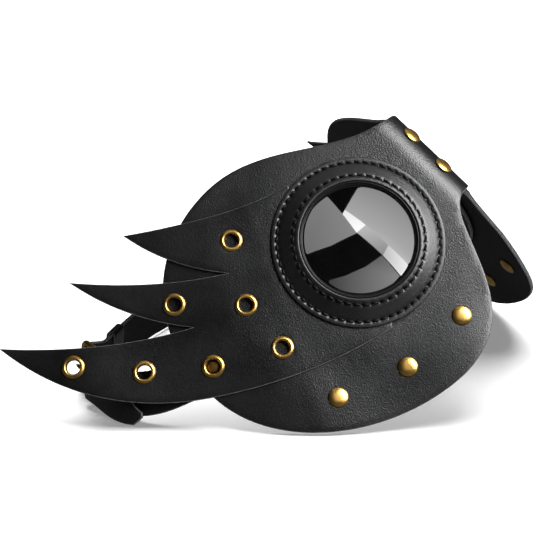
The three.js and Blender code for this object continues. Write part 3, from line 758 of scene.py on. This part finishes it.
def run(points, from_across, to_across, count=24):
    """A Bezier stretch of route and its directions across."""
    line = np.concatenate([[points[0]], bezier(points, count)])
    u = np.linspace(0, 1, count + 1)[:, None]
    ease = u * u * (3 - 2 * u)
    return line, from_across * (1 - ease) + to_across * ease


def on_skin(side, ahead=20.0):
    """A strap's first stretch, flat against the inside of the face from end to past its rivet."""
    places = np.linspace(-STRAP_RIVET_PLACE, ahead, 24)
    level = -1.5 * LEATHER - GAP - 0.3
    s = STRAP_RIVET[0] + places * math.cos(STRAP_RISE)
    t = STRAP_RIVET[1] + places * math.sin(STRAP_RISE)
    line = skin(side, s, t, level - 0.9 * smooth_step(4, ahead, places))
    along = unit(line[-1] - line[-3])
    _, outward, _, _ = skin_frame(side, s[-1], t[-1], level)
    across = unit(np.cross(outward, along) * side)
    return line, np.repeat(across[None], 24, 0), along, across


def join(*stretches):
    return np.concatenate([s[0] for s in stretches]), np.concatenate([s[1] for s in stretches])


def right_run():
    line, sides, along, across = on_skin(RIGHT)
    curve = run([line[-1], line[-1] + along * 14, at_buckle(-14, FOLD_RADIUS - 4, -2),
                 at_buckle(-2, FOLD_RADIUS)], across, BUCKLE_UP)
    return Route(*join((line, sides), curve)).smoothed(1.5)


def laid_along(route, start, end, distance, count=16):
    """A stretch beside a route, from a distance back from its end to a further one."""
    back = np.linspace(start, end, count)
    u = route.u[-1] - back
    shift = np.array([distance(b) for b in back])
    return route.at(u, np.zeros(count), shift), between(u, route.u, route.across)


def right_route():
    outer = right_run()
    turn = np.radians(np.linspace(90, -90, 19))
    fold = np.array([at_buckle(FOLD_RADIUS * math.cos(a), FOLD_RADIUS * math.sin(a)) for a in turn])
    closing = lambda back: max(2.4, 2 * FOLD_RADIUS - 0.35 * (back + 2))
    back = laid_along(outer, 2, 14, closing)
    bend = fold, np.repeat(BUCKLE_UP[None], 19, 0)
    return Route(*join((outer.points, outer.across), bend, back)).smoothed(0.5)


def left_route():
    line, sides, along, across = on_skin(LEFT)
    way, level = KEEPER_WAY, KEEPER_UP
    spot = KEEPER_SPOT + GROUND_SHIFT
    before, after = spot - way * KEEPER_RUN, spot + way * KEEPER_RUN
    around = run([line[-1], line[-1] + along * 30, before - way * 68, before], across, level, 60)
    to_buckle = run([after, after + way * 5, at_buckle(BUCKLE_LENGTH + 5, FRONT_BAR_PASS - 0.2),
                     at_buckle(BUCKLE_LENGTH, FRONT_BAR_PASS)], level, BUCKLE_UP)
    through = run([at_buckle(BUCKLE_LENGTH - 2.5, FRONT_BAR_PASS),
                   at_buckle(BUCKLE_LENGTH - 7, FRONT_BAR_PASS + 0.5),
                   at_buckle(6, TAIL_PASS), at_buckle(0.5, TAIL_PASS)], BUCKLE_UP, BUCKLE_UP)
    tail, tail_sides = laid_along(right_run(), 0.5, 24, lambda back: -(LEATHER + 0.5), 24)
    sag = smooth_step(0, 1, np.linspace(0, 1, 24))[:, None]
    tail = tail - BUCKLE_UP * 3.6 * sag + BUCKLE_OUT * 1.2 * sag
    tail = tail, unit(tail_sides - BUCKLE_OUT * 0.16 * sag)
    return Route(*join((line, sides), around, to_buckle, through, tail)).smoothed(0.9)


def strap_shell(route, near_end, far_end, holes):
    """Strap leather along a route. near_end and far_end list (back from the end, across) points."""
    half = STRAP_WIDTH / 2
    places = route.spacing()
    length = route.u[-1]
    inner = places[(places > near_end[0][0] + 0.5) & (places < length - max(b for b, _ in far_end) - 0.5)]
    outer = [*[(u, -half) for u in inner], *[(length - b, v) for b, v in far_end],
             *[(u, half) for u in inner[::-1]], *[(b, v) for b, v in near_end]]
    outer = fine(np.array(outer))
    grid = np.array([(u, v) for u in places for v in np.linspace(-half + 1.9, half - 1.9, 8)])
    bend = lambda u, v, h: route.at(u, v, h - LEATHER / 2)
    return sheet_shell([outer, *holes], bend, LEATHER, fill=(grid, 0.28))


def fine(line, longest=2.4, closed=True):
    """A loop, or an open line, with points added on its long stretches."""
    result = []
    for a, b in zip(line, np.roll(line, -1, 0) if closed else line[1:]):
        count = max(1, math.ceil(math.dist(a, b) / longest))
        result += [a + (b - a) * i / count for i in range(count)]
    return np.array(result if closed else [*result, line[-1]])


def arc(centre, radius, start, end, count=9):
    return [(centre[0] + radius * math.cos(math.radians(a)), centre[1] + radius * math.sin(math.radians(a)))
            for a in np.linspace(start, end, count)]


def slot_hole(start, end, half):
    """A long hole with round ends, along a strap's middle."""
    return np.array([*arc((end - half, 0), half, 90, -90), *arc((start + half, 0), half, 270, 90)])


def nearest(route, point, after=0.0):
    u = np.arange(after, route.u[-1], 0.1)
    line = route.at(u, 0 * u, 0 * u)
    return float(u[((line - point) ** 2).sum(1).argmin()])


def add_straps(looks):
    half, corner = STRAP_WIDTH / 2, STRAP_CORNER
    rivet_hole = circle((STRAP_RIVET_PLACE, 0), 1.8, 24)
    near = [(corner, half), *arc((corner, half - corner), corner, 90, 180, 6),
            *arc((corner, corner - half), corner, 180, 270, 6)]

    route = right_route()
    heel = nearest(route, at_buckle(FOLD_RADIUS, 0), 40)
    holes = [rivet_hole, slot_hole(heel - 11, heel + 9, 1.7)]
    far = [(1.2, -half), (0, 1.2 - half), (0, half - 1.2), (1.2, half)]
    add_sheet("right_strap_leather", strap_shell(route, near, far, holes), looks["sheet"], "right_strap")
    add_fold_stitches(route, heel, looks["thread"])

    route = left_route()
    end = route.u[-1]
    crossing = nearest(route, at_buckle(5, 2.5), end - 60)
    holes = [rivet_hole, slot_hole(crossing - 4.4, crossing + 4.6, 1.7)]
    holes += [circle((end - back, 0), 1.5, 28) for back in PRONG_HOLES]
    far = [(3, -half), (0, 3 - half), (0, 5 - half), (12.5, half)]
    add_sheet("left_strap_leather", strap_shell(route, near, far, holes), looks["sheet"], "left_strap")


def add_fold_stitches(route, heel, material):
    """A row of thread across the strap, holding its folded end."""
    parts = Parts()
    u = heel - FOLD_SEAM
    spot = lambda v, h: route.at(np.array([u]), np.array([v]), np.array([h]))[0]
    frame_at = lambda place: (spot(place[1], -LEATHER / 2), spot(0.0, 0.0) - spot(0.0, 1.0))
    for i in range(5):
        start = -7.6 + 3.2 * i
        stitch(parts, frame_at, np.array([u, start]), np.array([u, start + 2.6]), 0.12, 0.34)
    add_thread("fold_stitches", parts, material)


def wire(points, radius, plane, closed=False, sides=20):
    """A round wire along points that lie across the direction plane."""
    points = np.asarray(points)
    radius = np.broadcast_to(radius, len(points))
    if closed:
        ways = unit(np.roll(points, -1, 0) - np.roll(points, 1, 0))
    else:
        ways = unit(np.gradient(points, axis=0))
    turn = np.linspace(0, 2 * math.pi, sides, endpoint=False)[:, None]
    rings = [p + r * (np.cos(turn) * plane + np.sin(turn) * np.cross(w, plane))
             for p, w, r in zip(points, ways, radius)]
    return tube(rings, closed)


def add_buckle(looks):
    half, corner = BUCKLE_HEIGHT / 2 - BUCKLE_WIRE, 2.5
    line = []
    ends = [(0, -half), (BUCKLE_LENGTH, -half), (BUCKLE_LENGTH, half), (0, half)]
    for i, (along, rise) in enumerate(ends):
        centre = (along - corner if along else corner, math.copysign(half - corner, rise))
        bend = arc(centre, corner, 180 + 90 * i, 270 + 90 * i, 9)
        line += [at_buckle(x, 0, FRAME_RISE + y) for x, y in bend]
    line = fine(np.array(line), 1.2)
    points, faces = wire(line, BUCKLE_WIRE, BUCKLE_OUT, True)
    add_object("buckle_frame_brass", points, faces, [looks["brass"]], "buckle", ["buckle_frame"])
    radius = BUCKLE_WIRE + GAP + PRONG_WIRE
    turns = np.radians(np.linspace(-190, 90, 41))
    curl = [at_buckle(radius * math.cos(a), radius * math.sin(a)) for a in turns]
    shaft = [at_buckle(x, radius) for x in np.linspace(1.2, 17.5, 22)]
    tip = [0.8, 0.62, 0.35, 0.12]
    sizes = [PRONG_WIRE] * (len(curl) + len(shaft) - len(tip)) + tip
    points, faces = wire([*curl, *shaft], sizes, BUCKLE_UP, sides=16)
    add_object("buckle_prong_brass", points, faces, [looks["brass"]], "prong", ["buckle_prong"])


def add_keeper(looks):
    """A band of thinner leather folded into a loop, its ends meeting behind the strap."""
    way, level = KEEPER_WAY, KEEPER_UP
    face = unit(np.cross(way, level))
    level = np.cross(face, way)
    spot = KEEPER_SPOT + GROUND_SHIFT
    wall, clear, bend_radius = KEEPER_WALL, 0.2, 1.5
    wide, deep = STRAP_WIDTH / 2 + clear + wall / 2, LEATHER / 2 + clear + wall / 2
    corners = [(wide, -deep), (wide, deep), (-wide, deep), (-wide, -deep)]
    line = [(0.15, -deep)]
    for (x, y), (start, end) in zip(corners, ((-90, 0), (0, 90), (90, 180), (180, 270))):
        centre = (math.copysign(wide - bend_radius, x), math.copysign(deep - bend_radius, y))
        line += arc(centre, bend_radius, start, end, 8)
    line.append((-0.15, -deep))
    points = np.array([spot + level * x + face * y for x, y in fine(np.array(line), 2.0, False)])
    route = Route(points, np.repeat(way[None], len(points), 0))
    places = route.spacing(0.2, 2)
    half = KEEPER_LENGTH / 2
    outer = np.array([*[(u, -half) for u in places], *[(u, half) for u in places[::-1]]])
    grid = np.array([(u, v) for u in places for v in (-3, -1, 1, 3)])
    flip = float(route.face[0] @ face) > 0
    bend = lambda u, v, h: route.at(u, v, (wall / 2 - h) if flip else (h - wall / 2))
    shell = sheet_shell([fine(outer)], bend, wall, fill=(grid, 0.3), flip=flip, round_by=0.35)
    add_sheet("keeper_leather", shell, looks["sheet"], "strap_keeper", "keeper")


# ---- materials -------------------------------------------

class Nodes:
    """A short way to write the nodes of a material, or of the world."""

    def __init__(self, name, kind="materials", shader="Principled BSDF"):
        self.material = getattr(bpy.data, kind).new(name)
        self.material.use_nodes = True
        self.tree = self.material.node_tree
        self.shader = self.tree.nodes[shader]
        self.places = self.add("ShaderNodeTexCoord").outputs
        self.place = self.places["Object"]

    def add(self, kind, inputs=None, **settings):
        node = self.tree.nodes.new(kind)
        for key, value in settings.items():
            setattr(node, key, value)
        for key, value in (inputs or {}).items():
            self.put(node.inputs[key], value)
        return node

    def put(self, socket, value):
        if isinstance(value, bpy.types.NodeSocket):
            self.tree.links.new(value, socket)
        else:
            socket.default_value = value

    def set(self, **values):
        for key, value in values.items():
            self.put(self.shader.inputs[key.replace("_", " ")], value)

    def noise(self, scale, detail=3.0, roughness=0.55):
        inputs = {"Vector": self.place, "Scale": scale, "Detail": detail, "Roughness": roughness}
        return self.add("ShaderNodeTexNoise", inputs).outputs["Fac"]

    def cells(self, scale):
        inputs = {"Vector": self.place, "Scale": scale}
        return self.add("ShaderNodeTexVoronoi", inputs, feature="SMOOTH_F1").outputs["Distance"]

    def ramp(self, factor, *stops):
        node = self.add("ShaderNodeValToRGB", {"Fac": factor})
        elements = node.color_ramp.elements
        while len(elements) < len(stops):
            elements.new(0.5)
        for element, (position, colour) in zip(elements, stops):
            element.position = position
            element.color = (*colour, 1) if isinstance(colour, tuple) else (colour, colour, colour, 1)
        return node.outputs["Color"]

    def math(self, operation, a, b=0.0):
        node = self.add("ShaderNodeMath", operation=operation)
        self.put(node.inputs[0], a)
        self.put(node.inputs[1], b)
        return node.outputs[0]

    def sum(self, base, source, amount):
        """A base value plus a share of a source."""
        return self.math("ADD", base, self.math("MULTIPLY", source, amount))

    def bump(self, height, distance, strength=1.0, normal=None):
        inputs = {"Height": height, "Distance": distance, "Strength": strength}
        if normal is not None:
            inputs["Normal"] = normal
        return self.add("ShaderNodeBump", inputs).outputs["Normal"]


def leather_look(name, tone, rough, grain=1.0, cell=2000):
    """Pebbled, semi-matte leather: cell grain, pores, a slow drift of tone and softness."""
    n = Nodes(name)
    pebble = n.cells(cell)
    pores = n.noise(2600, 2)
    drift = n.noise(38, 4)
    speck = n.math("MULTIPLY", n.math("ADD", drift, n.noise(1100, 3, 0.7)), 0.5)
    dark, light = tuple(c * 0.4 for c in tone), tuple(c * 2.2 for c in tone)
    n.set(Base_Color=n.ramp(speck, (0.36, dark), (0.64, light)))
    n.set(Roughness=n.sum(rough - 0.06, drift, 0.12))
    coarse = n.bump(n.noise(150, 2), 0.00016 * grain, 0.5)
    cells = n.bump(pebble, 0.00011 * grain, 0.85, coarse)
    n.set(Normal=n.bump(pores, 0.00004 * grain, 0.7, cells), Specular_IOR_Level=0.5)
    return n.material


def fibre_look(name, grain, dark, light, rough, bumps, gloss):
    """Fibres or thread: one noise gives both the tone and the bumps."""
    n = Nodes(name)
    fibres = n.noise(*grain)
    n.set(Base_Color=n.ramp(fibres, dark, light), Roughness=rough, Normal=n.bump(fibres, *bumps))
    n.set(Specular_IOR_Level=gloss)
    return n.material


def edge_look():
    """The cut edge: grey-black fibres, rougher than the face."""
    return fibre_look("leather_edge", (1500, 4, 0.7), (0.35, (0.02, 0.02, 0.021)),
                      (0.7, (0.12, 0.12, 0.124)), 0.75, (0.00025, 0.8), 0.5)


def lining_look():
    """The flesh side: a fine matt nap."""
    return fibre_look("leather_lining", (900, 4, 0.6), (0.3, (0.002, 0.002, 0.0022)),
                      (0.7, (0.006, 0.006, 0.0065)), 0.62, (0.0001, 0.6), 0.18)


def thread_look():
    """Waxed black thread with a twist."""
    return fibre_look("waxed_thread", (2200, 2), (0.3, 0.001), (0.7, 0.004), 0.5, (0.00012, 0.7), 0.1)


def brass_look(name, dull, bright, rough):
    """Brass that drifts from a dull tone to a bright one, with fine scuffs."""
    n = Nodes(name)
    age = n.noise(160, 4)
    scuffs = n.noise(1400, 3, 0.7)
    n.set(Base_Color=n.ramp(age, (0.3, dull), (0.65, bright)))
    n.set(Roughness=n.sum(rough, scuffs, 0.2))
    n.set(Metallic=1.0, Normal=n.bump(scuffs, 0.000008, 0.3))
    return n.material


def bezel_look():
    """Satin black, a little worn."""
    n = Nodes("bezel_black")
    wear = n.noise(700, 3)
    n.set(Roughness=n.sum(0.3, wear, 0.15))
    n.set(Base_Color=(0.005, 0.005, 0.0055, 1), Specular_IOR_Level=0.2)
    return n.material


def lens_look():
    """Smoked lens: near black with a hard mirror gloss."""
    n = Nodes("smoked_lens")
    haze = n.noise(90, 2)
    n.set(Base_Color=n.ramp(haze, (0.3, (0.003, 0.003, 0.0035)), (0.7, (0.006, 0.006, 0.007))), IOR=LENS_IOR)
    n.set(Roughness=n.sum(0.02, haze, 0.02))
    return n.material


def all_looks():
    tone = (0.003, 0.003, 0.0033)
    grain, edge, lining = leather_look("leather_grain", tone, 0.34), edge_look(), lining_look()
    return {"sheet": [grain, edge, lining], "moulded": leather_look("leather_moulded", tone, 0.4, 0.5),
            "edge": edge, "lining": lining, "thread": thread_look(),
            "brass": brass_look("brass", (0.37, 0.21, 0.05), (0.64, 0.40, 0.115), 0.22),
            # Brass about five times darker for the strap rivet: painted shade of the eyelet hole above its
            # cap.
            "painted_shade_brass": brass_look("brass_painted_shade", (0.07, 0.035, 0.01), (0.14, 0.075, 0.02), 0.4),
            "bezel": bezel_look(), "lens": lens_look()}


# ---- floor and light -------------------------------------

TARGET = Vector((-0.045, 0, 0.055))


def add_area(name, position, width, height, power, pieces):
    """A rectangular lamp turned to the mask that lights only the pieces given."""
    data = bpy.data.lights.new(name, "AREA")
    data.shape = "RECTANGLE"
    data.size, data.size_y, data.energy = width, height, power
    lamp = link_object(name, data)
    lamp.location = position
    lamp.rotation_euler = (TARGET - lamp.location).to_track_quat("-Z", "Y").to_euler()
    lamp.visible_camera = False
    lamp.light_linking.receiver_collection = receivers(f"{name}_receivers", pieces)


def add_stage(name, points, faces, look):
    """Something of the studio, in metres, that isn't part of the mask."""
    mesh = bpy.data.meshes.new(name)
    mesh.from_pydata(points, [], faces)
    mesh.materials.append(look)
    piece = link_object(name, mesh)
    return piece


def add_floor(size=12.0):
    """White paper that glows more the further it is from the mask, so that only a shadow shows."""
    n = Nodes("floor_white")
    away = n.add("ShaderNodeVectorMath", {0: n.place}, operation="LENGTH").outputs["Value"]
    glow = n.ramp(n.math("MULTIPLY", away, 0.5), (0.09, 0.27), (0.21, 1.0))
    n.set(Base_Color=(0.9, 0.9, 0.9, 1), Roughness=0.9, Specular_IOR_Level=0.0)
    n.set(Emission_Color=(1, 1, 1, 1), Emission_Strength=glow)
    corners = [(-size, -size, 0), (size, -size, 0), (size, size, 0), (-size, size, 0)]
    floor = add_stage("floor", corners, [(0, 1, 2, 3)], n.material)
    floor.visible_glossy = False
    return floor


def add_backdrop(radius=11.5, rows=10, columns=48):
    """A white dome beyond the floor, seen by the camera alone, so that no horizon shows."""
    n = Nodes("backdrop_white")
    n.set(Base_Color=(0, 0, 0, 1), Emission_Color=(1, 1, 1, 1), Emission_Strength=1.0)
    turn = np.linspace(0, 2 * math.pi, columns, endpoint=False)
    circle_of = np.stack([np.cos(turn), np.sin(turn), 0 * turn], -1)
    rises = np.linspace(0, math.pi / 2, rows, endpoint=False)
    points, faces = tube([radius * (math.cos(a) * circle_of + [0, 0, math.sin(a)]) for a in rises])
    top, last = len(points), len(points) - columns
    crown = [(last + i, last + (i + 1) % columns, top) for i in range(columns)]
    points = [*points.tolist(), (0, 0, radius)]
    backdrop = add_stage("backdrop", points, faces[:-2] + crown, n.material)
    backdrop.visible_diffuse = backdrop.visible_glossy = backdrop.visible_shadow = False
    backdrop.visible_transmission = False


def receivers(name, pieces):
    """A collection of the pieces that a light is meant for."""
    group = bpy.data.collections.new(name)
    for piece in pieces:
        group.objects.link(piece)
    return group


# Studio panels that show in the lens: corners as seen there (1 is the lens's edge) and their glow.
CARDS = {
    "window": [(-1.35, 0.95, 0.19), (-0.56, 0.79, 0.21), (-0.30, 0.43, 0.22), (-0.05, 0.09, 0.24),
               (-0.5, -0.13, 0.2), (-0.92, -0.27, 0.16), (-1.35, -0.36, 0.15)],
    "sky": [(-0.01, 0.95, 0.27), (0.6, 1.1, 0.18), (1.3, 0.7, 0.18), (1.3, -0.6, 0.38), (0.87, -0.46, 0.5),
            (0.5, -0.119, 0.45), (0.11, 0.24, 0.43), (-0.25, 0.52, 0.38)],
    "block": [(-0.25, 0.52, 0.8), (0.11, 0.24, 0.95), (-0.05, 0.10, 1.0), (-0.35, 0.34, 0.9)],
    "strip": [(0.11, 0.24, 0.5), (-0.05, 0.10, 0.45), (0.40, -0.30, 0.25), (0.5, -0.119, 0.32)],
    "lamp": [(0.5, -0.119, 0.6), (0.40, -0.30, 0.5), (0.75, -0.68, 0.95), (1.0, -0.9, 1.0), (1.1, -0.6, 0.9),
             (0.87, -0.46, 0.85)],
    "table": [(0.38, -0.30, 0.11), (0.10, -0.50, 0.13), (-0.25, -0.66, 0.09), (-0.55, -0.75, 0.05),
              (-0.5, -1.25, 0.05), (0.9, -1.2, 0.12), (0.74, -0.70, 0.24)],
}


def add_lens_cards(lenses):
    """Emitting panels round the room, placed where the right lens mirrors them to the camera."""
    group = receivers("lens_receivers", lenses)
    origin, outward, _, _ = skin_frame(RIGHT, *LENS_CENTRE)
    centre = Vector(origin * MM)
    normal = Vector(outward)
    camera = bpy.context.scene.camera
    right = camera.matrix_world.col[0].to_3d()
    right = (right - normal * right.dot(normal)).normalized()
    up = normal.cross(right)
    for name, corners in CARDS.items():
        points = []
        for u, v, _ in corners:
            tilt = (right * u + up * v) * (LENS_EDGE / LENS_DOME)
            way = (normal + tilt).normalized()
            place = centre + (right * u + up * v) * LENS_EDGE * MM
            sight = (place - camera.location).normalized()
            points.append(place + (sight - 2 * sight.dot(way) * way) * 1.6)
        n = Nodes(f"card_{name}")
        source = n.add("ShaderNodeAttribute", attribute_name="glow").outputs["Fac"]
        n.set(Base_Color=(0, 0, 0, 1), Emission_Color=(1, 1, 1, 1), Emission_Strength=source)
        card = add_stage(f"card_{name}", points, [tuple(range(len(points)))], n.material)
        glow = card.data.color_attributes.new("glow", "FLOAT_COLOR", "POINT")
        for value, (_, _, brightness) in zip(glow.data, corners):
            value.color = (*[brightness / LENS_GLOSS] * 3, 1)
        card.light_linking.receiver_collection = group
        card.visible_camera = card.visible_diffuse = card.visible_shadow = False


def add_world():
    """A dim sky over a lighter ground, which stands in for the floor in glossy reflections."""
    n = Nodes("studio", "worlds", "Background")
    height = n.add("ShaderNodeSeparateXYZ", {0: n.places["Generated"]}).outputs["Z"]
    n.set(Color=n.ramp(height, (0.0, 0.13), (0.04, 0.02)), Strength=1.0)
    bpy.context.scene.world = n.material


def add_studio(brass, lenses, others, floor):
    add_world()
    far_side = [o for o in others if o.name.startswith("left_")]
    near_side = [o for o in others if o not in far_side]
    add_area("key", (0.0, -0.86, 0.82), 0.7, 0.95, 40.0, near_side)
    add_area("far_key", (-0.4, -0.8, 0.9), 0.5, 0.8, 20.0, far_side)
    add_area("top", (0.45, 0.35, 1.55), 1.5, 1.5, 2.8, others + lenses)
    add_area("ceiling", (0.35, 0.15, 1.1), 1.0, 1.0, 29.0, [floor])
    add_area("brass_fill", (-0.7, -0.65, 1.0), 1.1, 1.1, 3.0, brass)
    add_lens_cards(lenses)
    add_backdrop()
    settings = bpy.context.scene.view_settings
    settings.view_transform = "Standard"
    settings.look = "None"


# ---- assembly --------------------------------------------

add_camera()
looks = all_looks()
add_panels(looks["sheet"])
for side, name in SIDES:
    add_goggle(side, name, looks)
    add_backing_ring(side, name, looks)
    add_hardware(side, name, looks)
add_bridge_rivets(looks)
add_straps(looks)
add_buckle(looks)
add_keeper(looks)
pieces = [o for o in bpy.context.scene.collection.objects if o.type == "MESH"]
lenses = [o for o in pieces if o.name.endswith("_glass")]
others = [o for o in pieces if o not in lenses]
add_studio([o for o in pieces if o.name.endswith("_brass")], lenses, others, add_floor())
